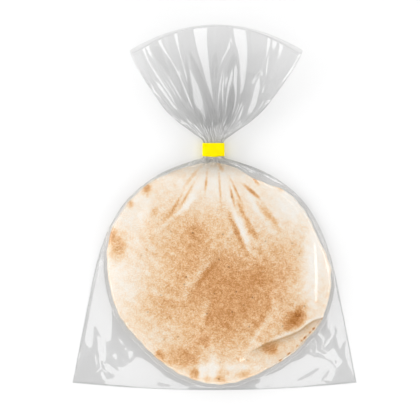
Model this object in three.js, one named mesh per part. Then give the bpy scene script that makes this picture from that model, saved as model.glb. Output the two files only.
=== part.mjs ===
// A round flatbread in a clear film bag, gathered at the neck and bound with a band of yellow tape.
// Millimetres, +Z up. The bag lies on its back with its mouth towards +Y, and above the band the spare film
// spreads into a pleated fan. The origin is on the surface it lies on, below the middle of its outline.
import * as THREE from "three";

// Driving dimensions
const bread = { x: 4, y: -57.8, radius: 98.5, crown: 14, rim: 7.5 };
const tape = { x: -0.9, y: 51.3, width: 20, height: 11.4, depth: 8, wall: 0.6, corner: 3, dip: 0.9 };
const film = { clearance: 0.3, edge: 1.2, slack: 2.6, skirt: 15, seam: 16, cornerDrop: 200.3, mouthRise: 81.4 };
const bow = { bottom: -6.6, bottomFrom: 120, mouth: 22.9 }; // how far each end's middle lies past its corners
const neck = { z: 6, halfDepth: tape.depth / 2 - tape.wall - film.clearance, openAt: 14, landsAt: 26 };
const fan = { z: 12.4, edgeZ: 8, halfDepth: 8.4, fullAt: 60, lean: 2.4 };
const pleats = { count: 5.5, depth: 3.8, uneven: 0.05 };
const gathers = { count: 9, depth: 1.3, deepestAt: 12, reach: 62 }; // radiating folds on the bread's side

// Half the bag's outline, as [distance from the band's edge, half width] on each side of the band
const neckHalfWidth = tape.width / 2 - tape.wall - film.clearance;
const fanOutline = [
  [0, neckHalfWidth], [1.4, neckHalfWidth + 0.2], [8.4, 17.7], [19, 32.3], [29.7, 43.8],
  [40.3, 51.8], [56.2, 62.9], [72.1, 72.5], [film.mouthRise, 76],
];
const bodyOutline = [
  [0, neckHalfWidth], [1.4, neckHalfWidth + 0.4], [4.2, 18.5], [10.6, 36.7], [17.7, 51.5], [31.8, 70.4],
  [46, 83], [67.2, 94.8], [95.5, 104.5], [131, 112], [film.cornerDrop, 125.5],
];
const bandTop = tape.y + tape.height / 2;
const bandBottom = tape.y - tape.height / 2;

const columns = 40;
const rows = { body: 30, neck: 3, fan: 18 };
const crowding = { body: 1.5, fan: 1.25 }; // rows lie closer near the band, where the outline turns fastest
const bandSteps = { corner: 6, face: 10 };

// 0 below low, 1 above high, with a smooth turn between them
const ease = (value, low, high) => THREE.MathUtils.smoothstep(value, low, high);
const mix = THREE.MathUtils.lerp;

// The value at a distance on a smooth line through [distance, value] pairs, which never overshoots them
function along(pairs, distance) {
  const last = pairs.length - 1;
  const step = (i) => (pairs[i + 1][1] - pairs[i][1]) / (pairs[i + 1][0] - pairs[i][0]);
  const slope = (i) => {
    if (i === 0) return step(0);
    if (i === last) return step(last - 1);
    const [before, after] = [step(i - 1), step(i)];
    return before * after <= 0 ? 0 : (2 * before * after) / (before + after);
  };
  let i = 0;
  while (i < last - 1 && distance > pairs[i + 1][0]) i += 1;
  const span = pairs[i + 1][0] - pairs[i][0];
  const t = THREE.MathUtils.clamp((distance - pairs[i][0]) / span, 0, 1);
  const bump = t * t * (3 - 2 * t);
  const tangents = span * (slope(i) * t * (1 - t) * (1 - t) - slope(i + 1) * t * t * (1 - t));
  return mix(pairs[i][1], pairs[i + 1][1], bump) + tangents;
}

// Height of the front film over the table beside and over the bread, away from the bag's edges
function pillow(x, y) {
  const r = Math.hypot(x - bread.x, y - bread.y);
  if (r < bread.radius) return bread.rim + (bread.crown - bread.rim) * (1 - (r / bread.radius) ** 3);
  return mix(bread.rim, film.slack, ease(r, bread.radius, bread.radius + film.skirt));
}

// One row of the bag across its width: its front from left to right, then its back from right to left
function bodyRow(distance) {
  const half = along(bodyOutline, distance);
  const lift = 1 - ease(distance, 0, neck.landsAt); // 1 at the neck, 0 where the back lies flat
  const pinch = 1 - ease(distance, 0, neck.openAt);
  const drop = bow.bottom * ease(distance, bow.bottomFrom, film.cornerDrop);
  const seam = ease(film.cornerDrop - distance, 0, film.seam);
  const gather = ease(distance, 0, gathers.deepestAt) * (1 - ease(distance, gathers.deepestAt, gathers.reach));
  return rowOf((u) => {
    const x = tape.x * lift + half * u;
    const y = bandBottom - distance + drop * (1 - u * u);
    const rounded = Math.sqrt(1 - Math.abs(u) ** 5);
    const folds = gathers.depth * gather * Math.cos(2 * Math.PI * gathers.count * u) * (1 - u * u);
    const open = film.edge + (pillow(x, y) + folds - film.edge) * rounded * seam;
    const neckDepth = Math.max(neck.halfDepth * Math.sqrt(1 - u ** 4), film.edge / 2);
    return { x, y, front: mix(open, neck.z + neckDepth, pinch), back: (neck.z - neckDepth) * lift };
  });
}

// The same for a row above the band, where the film spreads in pleats
function fanRow(distance) {
  const half = along(fanOutline, distance);
  const spread = ease(distance, 0, film.mouthRise);
  const lean = fan.lean * spread;
  return rowOf((u) => {
    const x = tape.x + lean + half * u;
    const y = bandTop + distance + bow.mouth * (distance / film.mouthRise) ** 1.5 * (1 - u * u);
    const middle = mix(neck.z, mix(fan.z, fan.edgeZ, u * u), spread);
    const depth = mix(neck.halfDepth, fan.halfDepth, spread) * Math.sqrt(1 - u ** 4);
    const pleat = pleats.depth * ease(distance, 0, fan.fullAt) * (1 - u ** 6);
    const wave = 2 * Math.PI * pleats.count * (u + pleats.uneven * Math.sin(5 * u + 1)); // no two pleats alike
    return {
      x,
      y,
      front: middle + Math.max(depth + pleat * Math.cos(wave), film.edge / 2),
      back: Math.max(middle - Math.max(depth + pleat * Math.sin(wave), film.edge / 2), 0),
    };
  });
}

// A row's points from one function of u, which runs from -1 at the left edge to 1 at the right one
function rowOf(pointAt) {
  const points = Array.from({ length: columns + 1 }, (_, i) => pointAt((2 * i) / columns - 1));
  const front = points.map((p) => new THREE.Vector3(p.x, p.y, p.front));
  const back = points.map((p) => new THREE.Vector3(p.x, p.y, p.back)).reverse();
  return [...front, ...back];
}

// A closed solid through loops with the same number of points. Its ends are the first and last loops, closed
// by a strip between their two halves, or each other where the loops themselves go round.
function loft(loops, goesRound = false) {
  const count = loops[0].length;
  const index = [];
  const quad = (a, b, c, d) => index.push(a, b, c, a, c, d);
  const spans = goesRound ? loops.length : loops.length - 1;
  for (let j = 0; j < spans; j += 1) {
    const next = (j + 1) % loops.length;
    for (let i = 0; i < count; i += 1) {
      const k = (i + 1) % count;
      quad(j * count + i, j * count + k, next * count + k, next * count + i);
    }
  }
  if (!goesRound) {
    const end = (loops.length - 1) * count;
    for (let i = 0; i < count / 2 - 1; i += 1) {
      const [a, b, c, d] = [i, i + 1, count - 2 - i, count - 1 - i];
      quad(d, c, b, a);
      quad(end + a, end + b, end + c, end + d);
    }
  }
  const geometry = new THREE.BufferGeometry().setFromPoints(loops.flat());
  geometry.setIndex(index);
  geometry.computeVertexNormals();
  return geometry;
}

// The whole bag with what is in it, from its bottom seam to its mouth
function bagGeometry() {
  const body = Array.from({ length: rows.body + 1 }, (_, j) => {
    const share = 1 - j / rows.body;
    return bodyRow(film.cornerDrop * share ** crowding.body);
  });
  const spread = Array.from({ length: rows.fan + 1 }, (_, j) => {
    return fanRow(film.mouthRise * (j / rows.fan) ** crowding.fan);
  });
  const bound = Array.from({ length: rows.neck - 1 }, (_, j) => {
    const share = (j + 1) / rows.neck;
    return body[rows.body].map((p, i) => p.clone().lerp(spread[0][i], share));
  });
  return loft([...body, ...bound, ...spread]);
}

// A rounded rectangle as points round the neck, seen along Y
function bandOutline(halfWidth, halfDepth, radius) {
  const shape = new THREE.Shape();
  const [w, d] = [halfWidth - radius, halfDepth - radius];
  shape.moveTo(-w, halfDepth);
  for (let i = 1; i <= bandSteps.face; i += 1) shape.lineTo(mix(-w, w, i / bandSteps.face), halfDepth);
  shape.absarc(w, d, radius, Math.PI / 2, 0, true);
  shape.absarc(w, -d, radius, 0, -Math.PI / 2, true);
  for (let i = 1; i <= bandSteps.face; i += 1) shape.lineTo(mix(w, -w, i / bandSteps.face), -halfDepth);
  shape.absarc(-w, -d, radius, -Math.PI / 2, -Math.PI, true);
  shape.absarc(-w, d, radius, Math.PI, Math.PI / 2, true);
  return shape.extractPoints(bandSteps.corner).shape;
}

// The band is a ring of a thin oblong section. Its lower edge dips in the middle of each face.
function bandGeometry() {
  const outer = bandOutline(tape.width / 2, tape.depth / 2, tape.corner);
  const inner = bandOutline(tape.width / 2 - tape.wall, tape.depth / 2 - tape.wall, tape.corner - tape.wall);
  const open = outer.length - 1; // the outline's last point repeats its first
  const loops = Array.from({ length: open }, (_, i) => {
    const dip = tape.dip * (1 - Math.abs(outer[i].x) / (tape.width / 2));
    const at = (p, y) => new THREE.Vector3(p.x, y, p.y);
    const [low, high] = [-tape.height / 2 - dip, tape.height / 2];
    return [at(outer[i], high), at(outer[i], low), at(inner[i], low), at(inner[i], high)];
  });
  return loft(loops, true);
}

const clearFilm = new THREE.MeshStandardMaterial({ color: "#e9dccb", roughness: 0.25, metalness: 0 });
const yellowTape = new THREE.MeshStandardMaterial({ color: "#fff000", roughness: 0.45, metalness: 0 });

const bag = new THREE.Mesh(bagGeometry(), clearFilm);
bag.name = "bag";

const neckTape = new THREE.Mesh(bandGeometry(), yellowTape);
neckTape.name = "neck_tape";
neckTape.position.set(tape.x, tape.y, neck.z);

// The outline is measured and the whole set back so that its middle is over the origin
const outline = new THREE.Box3().setFromObject(bag);
const middle = outline.getCenter(new THREE.Vector3());
const baggedFlatbread = new THREE.Group();
baggedFlatbread.add(bag, neckTape);
baggedFlatbread.position.set(-middle.x, -middle.y, -outline.min.z);

export default baggedFlatbread;
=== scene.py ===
import math
import bpy
import numpy as np
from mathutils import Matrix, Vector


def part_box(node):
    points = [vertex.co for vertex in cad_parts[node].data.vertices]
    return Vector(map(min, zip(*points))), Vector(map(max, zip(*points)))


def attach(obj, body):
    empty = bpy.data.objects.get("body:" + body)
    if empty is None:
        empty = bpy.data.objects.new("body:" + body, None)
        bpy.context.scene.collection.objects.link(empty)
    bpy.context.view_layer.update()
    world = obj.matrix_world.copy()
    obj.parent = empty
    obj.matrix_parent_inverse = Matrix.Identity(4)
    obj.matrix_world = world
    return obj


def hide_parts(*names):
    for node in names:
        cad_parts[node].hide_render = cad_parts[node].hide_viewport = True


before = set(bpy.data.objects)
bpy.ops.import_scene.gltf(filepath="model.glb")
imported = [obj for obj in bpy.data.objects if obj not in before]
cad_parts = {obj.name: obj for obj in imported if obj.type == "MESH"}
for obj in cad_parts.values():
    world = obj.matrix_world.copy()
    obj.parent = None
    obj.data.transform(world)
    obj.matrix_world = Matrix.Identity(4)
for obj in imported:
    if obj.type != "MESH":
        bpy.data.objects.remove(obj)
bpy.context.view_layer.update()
mm = 0.001  # shapes are worked out in millimetres and go into the meshes in metres

tapeLow, tapeHigh = (np.array(corner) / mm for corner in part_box("neck_tape"))


def hexColour(code):
    # sRGB hex to linear: c / 12.92 up to 0.04045, and ((c + 0.055) / 1.055) ^ 2.4 above it
    parts = [int(code[i:i + 2], 16) / 255 for i in (1, 3, 5)]
    return tuple(c / 12.92 if c <= 0.04045 else ((c + 0.055) / 1.055) ** 2.4 for c in parts) + (1.0,)


def ease(value, low, high):
    # t t (3 - 2 t), where t runs from 0 at low to 1 at high
    t = np.clip((value - low) / (high - low), 0, 1)
    return t * t * (3 - 2 * t)


def mix(a, b, share):
    return a + (b - a) * share


def bell(value, width):
    # exp(-(value / width)^2): 1 in the middle, 0.37 one width away
    return np.exp(-(value / width) ** 2)


def along(pairs, place):
    # cubic Hermite line through (place, value) pairs, each slope the harmonic mean of its two steps
    x, y = np.array(pairs, float).T
    step = np.diff(y) / np.diff(x)
    rising = step[:-1] * step[1:] > 0
    inner = np.where(rising, 2 * step[:-1] * step[1:] / np.where(rising, step[:-1] + step[1:], 1), 0)
    slope = np.concatenate([step[:1], inner, step[-1:]])
    place = np.clip(place, x[0], x[-1])
    i = np.clip(np.searchsorted(x, place) - 1, 0, len(x) - 2)
    span = x[i + 1] - x[i]
    t = (place - x[i]) / span
    bend = span * t * (1 - t) * (slope[i] * (1 - t) - slope[i + 1] * t)
    return mix(y[i], y[i + 1], t * t * (3 - 2 * t)) + bend


def ripples(x, y, sets):
    # for each set (height, size in mm, seed, number of waves) a sum of sine waves about one size long in many
    # directions, mostly between minus and plus its height
    total = np.zeros(np.broadcast(x, y).shape)
    for height, size, seed, count in sets:
        turns, stretches, starts = np.random.default_rng(seed).uniform(0, 1, (3, count))
        high = height / math.sqrt(2 * count)
        for turn, stretch, start in zip(2 * math.pi * turns, 0.7 + 0.8 * stretches, 2 * math.pi * starts):
            way = x * math.cos(turn) + y * math.sin(turn)
            total += high * np.sin(2 * math.pi * stretch / size * way + start)
    return total


def turned(x, y, midX, midY, angle):
    # x and y measured from a middle point, along and across a line at that angle in degrees
    c, s = math.cos(math.radians(angle)), math.sin(math.radians(angle))
    return (x - midX) * c + (y - midY) * s, (y - midY) * c - (x - midX) * s


def gridFaces(index):
    # a quad between each four neighbours of a grid of vertex numbers, facing up where its columns run
    # along +X and its rows along +Y
    quads = [index[:-1, :-1], index[:-1, 1:], index[1:, 1:], index[1:, :-1]]
    return np.stack(quads, -1).reshape(-1, 4)


def addPiece(name, points, faces, material):
    # a smooth mesh from points in millimetres and lists of vertex numbers
    mesh = bpy.data.meshes.new(name)
    mesh.from_pydata((points * mm).tolist(), [], [f for part in faces for f in part.tolist()])
    mesh.polygons.foreach_set("use_smooth", np.ones(len(mesh.polygons), bool))
    mesh.materials.append(material)
    piece = bpy.data.objects.new(name, mesh)
    bpy.context.scene.collection.objects.link(piece)
    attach(piece, "root")
    return piece


def addPointValues(piece, name, values):
    attribute = piece.data.attributes.new(name, "FLOAT", "POINT")
    attribute.data.foreach_set("value", values.astype(np.float32))


def newMaterial(name):
    material = bpy.data.materials.new(name)
    material.use_nodes = True
    material.node_tree.nodes.clear()
    return material, material.node_tree


def addNode(tree, kind, inputs, **settings):
    # inputs gives each socket by name or number, as a value or as (node, output) to link from
    node = tree.nodes.new("ShaderNode" + kind)
    for name, value in settings.items():
        setattr(node, name, value)
    for socket, value in inputs.items():
        if isinstance(value, tuple) and isinstance(value[0], bpy.types.Node):
            tree.links.new(value[0].outputs[value[1]], node.inputs[socket])
        else:
            node.inputs[socket].default_value = value
    return node


def fillRamp(ramp, stops):
    # one element for each (place, colour) of the stops
    elements = ramp.color_ramp.elements
    while len(elements) < len(stops):
        elements.new(0.5)
    for element, (place, code) in zip(elements, stops):
        element.position = place
        element.color = hexColour(code)


# Bread: a pocket flatbread, thin at its rim and a little puffed, that lies flat on the bag's back

bread = {
    "x": 4, "y": -57.8,  # mm, its middle
    # radius every 22.5 degrees, from +X towards +Y, and how uneven it is, as a set of ripples
    "radii": [99, 92.5, 94, 89, 97.3, 98.3, 101.5, 102.5, 98.3, 95.5, 92.3, 95.3, 98.3, 95.3, 96.3, 99.8],
    "waver": [(0.5, 17, 5, 9)],
    "lie": 0.3,         # its underside over the table
    "equator": 2.4,     # height of the widest point of its rim
    "rim": 3.6,         # how far the top of the rim is above that
    "dome": 5.6,        # and the middle above the rim
    "thinnest": 0.6,    # no part of it is thinner
    "columns": 540, "topRows": 96, "underRows": 22,
    "topCrowding": 0.9, "underCrowding": 0.7,  # below 1 there are more rows near the rim
    "rimFade": 10,      # the higher, the closer to the rim its relief goes
    # soft swells: x, y, half length, half width, angle, height
    "swells": [
        (-22, -44, 34, 15, 38, 1.17), (-6.6, -93, 17, 9, 25, 1.04), (43, -104, 30, 6.5, 52, 1.3),
        (30, -20, 22, 10, -40, 0.78), (-52, -20, 22, 14, 60, 0.91), (52, -66, 16, 11, 70, 0.91),
        (-50, -92, 20, 9, -30, 0.91), (12, -132, 26, 10, 8, 0.26), (-20, 10, 18, 12, 80, 0.65),
        (6, -70, 22, 8, 40, -1.17), (70, -38, 18, 9, 85, -0.65), (-72, -66, 14, 20, 0, 0.52),
    ],
    "rolls": [(0.28, 34, 11, 9)],                          # ripples that the film follows too
    "wrinkles": [(0.10, 11, 12, 9), (0.035, 4.2, 13, 14)],  # and finer ones
    # steps in the top where the upper layer has slid: x, y, half length, angle, curve, height, softness
    "steps": [
        (-8.4, -55.9, 23.9, 51, 0.003, 1.0, 1.8), (-41.2, -79.8, 15.9, -14, -0.006, 0.9, 2),
        (-5.8, -90.4, 10.6, 73, 0, 0.8, 1.8), (45.6, -99.3, 13.3, -129, 0, 0.9, 1.8),
        (53.5, -80.7, 8.8, -95, 0, 0.7, 1.8), (15.5, -23.2, 11.5, 57, 0, 0.7, 1.8),
    ],
    "stepReach": 9,     # how far from its line a step dies out
    # the lip where the upper layer ends over the lower one: (degrees, radius) of its line, the degrees where
    # it begins and ends, its drop, and the curl behind its line
    "lip": [(-77.1, 75.3), (-68.2, 73.8), (-57.6, 74.3), (-48.0, 78.0), (-40.2, 83.4),
            (-34.8, 87.4), (-30.8, 89.6), (-27.7, 92.0), (-24.7, 96.4), (-22.7, 102.7)],
    "lipBegins": (-74, -52), "lipEnds": (-23, -19),
    "lipDrop": 2.6, "lipEdge": 1.0, "curl": 0.7, "curlAt": 3.5, "curlWidth": 4,
    # where the oven browned it, and a few narrow painted shades on the shaded sides of ridges: x, y, half
    # length, half width, angle, strength
    "toast": [
        (0.4, -74.5, 72, 60.2, -35, 0.26), (24, -77, 50, 35, -28, 0.22), (60, -50, 32, 21, 80, 0.18),
        (-6, -7, 42, 18, 0, 0.09), (-57, -95, 20, 14, 20, 0.08), (-21.7, -33.8, 35.4, 21.2, -25, 0.12),
        (-43.8, -81.6, 23, 16, -10, 0.08), (-8.4, -117, 30.1, 19.5, 0, 0.12),
        (-59.7, 16.6, 4.2, 4.8, 0, 0.34), (-74.8, 3.4, 4, 3.1, 0, 0.22), (-54.4, -4.6, 6.2, 2.8, 60, 0.18),
        (-39.4, -8.1, 10.6, 5, 45, 0.14), (-84.5, -33.8, 11.5, 7.1, 80, 0.3),
        (-90.7, -25, 7.1, 3.5, 70, 0.3), (-16.4, -21.4, 8.8, 8, 0, 0.1), (23.5, -1.1, 8, 2, -65, 0.28),
        (31.4, -17, 11.5, 2.6, -62, 0.3), (20, -22.3, 19, 2.3, -66, 0.28),
        (49.1, -7.3, 12.4, 2.8, -55, 0.26), (42, -3.7, 10.6, 2, -60, 0.22), (58.9, 18.4, 4.4, 3.5, -30, 0.3),
        (8.4, -97.5, 11.5, 8, 0, 0.1), (38.5, -59.5, 10.6, 8.8, 0, 0.1), (71, -99, 11.5, 7, 42, 0.46),
        (76.5, -90, 9, 3.6, 55, 0.2), (49.1, -124.1, 8.8, 5.4, -20, 0.34),
        (-27.9, -132.9, 19.5, 9.7, -8, 0.28), (-18.1, -147.1, 4.4, 5.3, 0, 0.4),
        (-48.2, -129.4, 4.4, 3.5, 0, 0.28), (-8.4, -117.9, 5.3, 4.4, 0, 0.2),
        # (-8.6, -59) here and (-6.6, -97) and (41, -95.5) below are painted shade on the shaded sides of
        # ridges
        (6.6, -145.3, 8.8, 3.5, 90, 0.16), (27, -147.1, 7.1, 4.4, 20, 0.18), (-8.6, -59, 12, 2.4, 52, 0.09),
        (-6.6, -97, 9, 1.6, 80, 0.07), (41, -95.5, 10, 2.4, 58, 0.07), (-2.2, -151.5, 12.4, 2.7, 0, 0.2),
        (-7.5, 21.5, 9.7, 1.1, 84, 0.34), (4.7, 17.5, 15.9, 1, -86, 0.3), (15.5, 10.4, 8.8, 1.1, -76, 0.42),
        (19, 14.9, 11.5, 1.1, -65, 0.36), (33.2, 14, 10.6, 1.5, -42, 0.5), (35.7, 24.6, 5.3, 1.4, -55, 0.42),
        (-19.9, 27.3, 10.6, 1.7, 51, 0.22), (-23.9, 11.8, 12.4, 1.1, 60, 0.26),
        (5.3, 36.1, 4.4, 1.6, -60, 0.26), (-34.1, 2.5, 12.4, 1.3, 60, 0.24),
        (83.6, -127.6, 10.6, 1.8, 33, 0.2), (87.7, -106.9, 1.2, 0.9, 0, 0.7), (84.2, -110.4, 1, 0.8, 0, 0.5),
        (79.7, -114.9, 1.6, 0.9, 45, 0.6), (76.9, -117.7, 1, 0.8, 45, 0.4), (73, -121.8, 1.1, 0.8, 45, 0.34),
        (65.6, -129.2, 1.4, 0.9, 40, 0.7), (58.4, -134.9, 1.6, 0.9, 40, 0.6), (95.1, -98, 1.2, 0.8, 45, 0.4),
    ],
    "broad": 25, "sharp": 1.5,  # patches shorter than this have borders this much sharper than a bell's
    "mottle": [(0.03, 26, 21, 9), (0.03, 9, 22, 12)],  # ripples over all of it
    "ragged": [(0.22, 9, 23, 12)],                     # and in the borders of the patches
    "bare": 0.11,       # how brown its floury parts are
    "underToast": 0.6,  # how brown its underside is, against its top
    # pale patches, as above: paler crust, and painted highlights and painted reflections of the film, as
    # marked below
    "pale": [
        # (87.2, -53.3) is a painted reflection of a soft box in the film over the bread's right rim
        (-79.2, -66.6, 23, 19.5, 90, 0.08), (87.2, -53.3, 33.6, 9, 87, 0.2),
        (-6.6, -141.8, 10.6, 12.4, 0, 0.1), (69.5, 2.5, 21.2, 17.7, 0, 0.14),
        (66.8, -72.7, 10.6, 8.8, 0, 0.06), (-70.4, -6.4, 17.7, 12.4, 45, 0.1), (0.4, 15.8, 23, 17.7, 0, 0.1),
        # painted reflections of the film's folds: the pale wedges out of the neck, and two short strips near
        # the bottom
        (23.6, -18, 19, 2.5, -66, 0.36), (39, -2, 17, 2.8, -57, 0.2), (-35, -7, 18, 1.9, 41, 0.24),
        (-20, 9, 13, 2.2, 61, 0.16), (-11.3, -141, 14, 2.2, 90, 0.16), (-1.8, -141, 14, 2.6, 90, 0.18),
        # painted highlights along the ridges of its upper layer, and a painted reflection of the film in the
        # pale strip along the bottom
        (-2.6, -35, 11, 2.4, 66, 0.1), (-13.4, -52.6, 13, 2.6, 52, 0.13), (-24.5, -70, 10, 3, 66, 0.12),
        (-10.5, -94.5, 10, 1.8, 79, 0.13), (51.6, -81, 11, 1.6, 87, 0.14), (45.8, -98.5, 10, 2.2, 56, 0.1),
        (36.5, -113, 9, 2.4, 60, 0.09), (28.6, -129, 10, 2.6, 66, 0.07), (9, -141, 36, 2.7, 0, 0.13),
    ],
    # painted shade below each step, and painted highlights on its upper side and behind the lip's edge:
    # strength, mm from the line, width
    "stepPaintedShade": (0.05, 3.0, 4.0), "stepPaintedHighlight": (0.15, 1.8, 2.4), "lipPaintedHighlight": (0.14, 1.6, 1.6),
    # the shade under the lip: mm out from its line and width of the darkest part, and of the rest its share
    # of that and where it fades out
    "shadeAt": 0.6, "shadeWidth": 0.8, "shadeShare": 0.6, "shadeFade": (0.5, 9),
}


def breadPolar(x, y):
    # share of the way from the bread's middle to its rim, direction in degrees, and that direction's radius
    dx, dy = x - bread["x"], y - bread["y"]
    angle = np.degrees(np.arctan2(dy, dx)) % 360
    count = len(bread["radii"])
    pairs = [(i * 360 / count, bread["radii"][i % count]) for i in range(-1, count + 2)]
    radius = along(pairs, angle)
    rimX, rimY = radius * np.cos(np.radians(angle)), radius * np.sin(np.radians(angle))
    radius = radius + ripples(rimX, rimY, bread["waver"])
    return np.hypot(dx, dy) / radius, angle, radius


def breadDome(share):
    # equator + rim sqrt(1 - share^14) + dome (1 - share^2)^1.3
    share = np.clip(share, 0, 1)
    edge = bread["rim"] * np.sqrt(1 - share ** 14)
    return bread["equator"] + edge + bread["dome"] * (1 - share ** 2) ** 1.3


def lipDistance(share, angle, radius):
    # how far outside the lip's line a point is, and how strong the lip is there
    around = (angle + 180) % 360 - 180
    outside = share * radius - along(bread["lip"], around)
    return outside, ease(around, *bread["lipBegins"]) * (1 - ease(around, *bread["lipEnds"]))


def stepPlaces(x, y):
    # for each step the place along and across its curved line, its half length, height and softness
    for midX, midY, length, angle, curve, height, softness in bread["steps"]:
        a, b = turned(x, y, midX, midY, angle)
        yield a, b + curve * a * a, length, height, softness


def swellHeight(x, y):
    # the sum of a bell along and across each swell, and of the rolls
    total = ripples(x, y, bread["rolls"])
    for midX, midY, length, width, angle, height in bread["swells"]:
        a, b = turned(x, y, midX, midY, angle)
        total += height * bell(a, length) * bell(b, width)
    return total


def breadRelief(x, y, share, angle, radius):
    # the sum of its swells, wrinkles, steps and curl, which die out at the rim, less the drop at its lip
    relief = swellHeight(x, y) + ripples(x, y, bread["wrinkles"])
    for a, b, length, height, softness in stepPlaces(x, y):
        relief += height * bell(a, length) * np.tanh(b / softness) * bell(b, bread["stepReach"])
    outside, strength = lipDistance(share, angle, radius)
    curl = bread["curl"] * bell(outside + bread["curlAt"], bread["curlWidth"])
    drop = bread["lipDrop"] * ease(outside, 0, bread["lipEdge"])
    fade = 1 - np.clip(share, 0, 1) ** bread["rimFade"]
    return (relief + strength * curl) * fade - strength * drop * (share < 1)


def breadTop(x, y):
    share, angle, radius = breadPolar(x, y)
    return breadDome(share) + breadRelief(x, y, share, angle, radius) * (share < 1)


def toastAndPaintedLightOf(x, y):
    # how brown the crust is: the sum of its patches over a floury base, less its pale patches, some of them
    # painted highlights and painted reflections of the film; painted highlights lie on the upper side of each
    # step and behind the lip's edge, and painted shade below each step
    value = bread["bare"] + ripples(x, y, bread["mottle"])
    ragged = 1 + ripples(x, y, bread["ragged"])
    for midX, midY, length, width, angle, strength in bread["toast"]:
        a, b = turned(x, y, midX, midY, angle)
        sharp = 1 if length > bread["broad"] else bread["sharp"]
        value += strength * np.exp(-((a / length) ** 2 + (b / width) ** 2) ** sharp * ragged)
    for midX, midY, length, width, angle, strength in bread["pale"]:
        a, b = turned(x, y, midX, midY, angle)
        value -= strength * bell(a, length) * bell(b, width)
    # painted shade below each step and a painted highlight on its upper side
    browningAndShade, stepShadeAt, stepShadeWidth = bread["stepPaintedShade"]
    highlight, highlightAt, highlightWidth = bread["stepPaintedHighlight"]
    for a, b, length, height, softness in stepPlaces(x, y):
        shade = browningAndShade * bell(b + stepShadeAt, stepShadeWidth) - highlight * bell(b - highlightAt, highlightWidth)
        value += bell(a, length) * height * shade
    # a painted highlight behind the lip's edge
    outside, strength = lipDistance(*breadPolar(x, y))
    highlight, highlightAt, highlightWidth = bread["lipPaintedHighlight"]
    value -= highlight * strength * bell(outside + highlightAt, highlightWidth)
    return np.clip(value, 0.0, 1.2)


def makeBread(material):
    # rings of a polar grid: over the top out to the rim, then back under it to the middle
    turns = np.linspace(0, 2 * math.pi, bread["columns"], endpoint=False)
    top = np.sin(np.linspace(0, math.pi / 2, bread["topRows"] + 1)[1:]) ** bread["topCrowding"]
    under = np.sin(np.linspace(math.pi / 2, 0, bread["underRows"] + 1)[1:-1]) ** bread["underCrowding"]
    shares = np.concatenate([top, under])
    isUnder = np.arange(len(shares)) >= len(top)
    share, turn = np.meshgrid(shares, turns, indexing="ij")
    far = 1000.0  # any far point gives a direction's radius
    radius = breadPolar(bread["x"] + far * np.cos(turn), bread["y"] + far * np.sin(turn))[2]
    x = bread["x"] + share * radius * np.cos(turn)
    y = bread["y"] + share * radius * np.sin(turn)
    z = breadDome(share) + breadRelief(x, y, share, np.degrees(turn) % 360, radius)
    belly = bread["equator"] - (bread["equator"] - bread["lie"]) * np.sqrt(1 - share ** 12)
    z = np.where(isUnder[:, None], belly, np.maximum(z, belly + bread["thinnest"] * (1 - share)))

    # a fan of triangles closes each side at its middle
    ring = np.arange(len(turns))
    after = (ring + 1) % len(turns)
    index = np.arange(share.size).reshape(share.shape)
    middleTop, middleUnder = np.full_like(ring, share.size), np.full_like(ring, share.size + 1)
    topCap = np.stack([middleTop, index[0, ring], index[0, after]], -1)
    underCap = np.stack([middleUnder, index[-1, after], index[-1, ring]], -1)
    index = np.concatenate([index, index[:, :1]], axis=1)
    beside = 0.01  # mm from the very middle, which has no direction
    poles = [[bread["x"], bread["y"], breadTop(bread["x"] + beside, bread["y"])],
             [bread["x"], bread["y"], bread["lie"]]]
    points = np.concatenate([np.stack([x, y, z], -1).reshape(-1, 3), np.array(poles, float)])
    piece = addPiece("flatbread", points, [gridFaces(index)[:, ::-1], topCap, underCap], material)

    x, y = points[:, 0], points[:, 1]
    below = np.concatenate([np.repeat(isUnder, len(turns)), [False, True]])
    # the browning carries the painted shade, painted highlights and painted film reflections worked out above
    addPointValues(piece, "toast", toastAndPaintedLightOf(x, y) * np.where(below, bread["underToast"], 1))
    # painted shade under the lip: a dark line just outside its line and a band that fades out below it
    outside, strength = lipDistance(*breadPolar(x, y))
    shade = bread["shadeShare"] * (outside > 0) * (1 - ease(outside, *bread["shadeFade"]))
    shade = shade + bell(outside - bread["shadeAt"], bread["shadeWidth"])
    addPointValues(piece, "crease", np.clip(strength * shade * (1 - below), 0, 1))


crust = {
    "grain": 1.0,    # mm, flour grain, drawn coarser than real so that it shows
    "bran": 0.95,    # bran flakes
    "blotch": 4,     # blotches
    "flecks": 9,     # about how far apart charred flecks of bran lie
    "bumps": 0.4,    # height of the grain
    "shade": 0.7,    # how far the painted shade under the lip pulls its colour towards the shade colour
    "fleckColour": "#8a5228", "paintedShadeColour": "#a98253",
    "colours": [(0.0, "#fffaf2"), (0.14, "#fef0de"), (0.3, "#f8dab5"), (0.42, "#f0c594"), (0.54, "#e4ac77"),
                (0.68, "#d2965a"), (0.84, "#c07c38"), (1.0, "#985824")],
}


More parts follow.
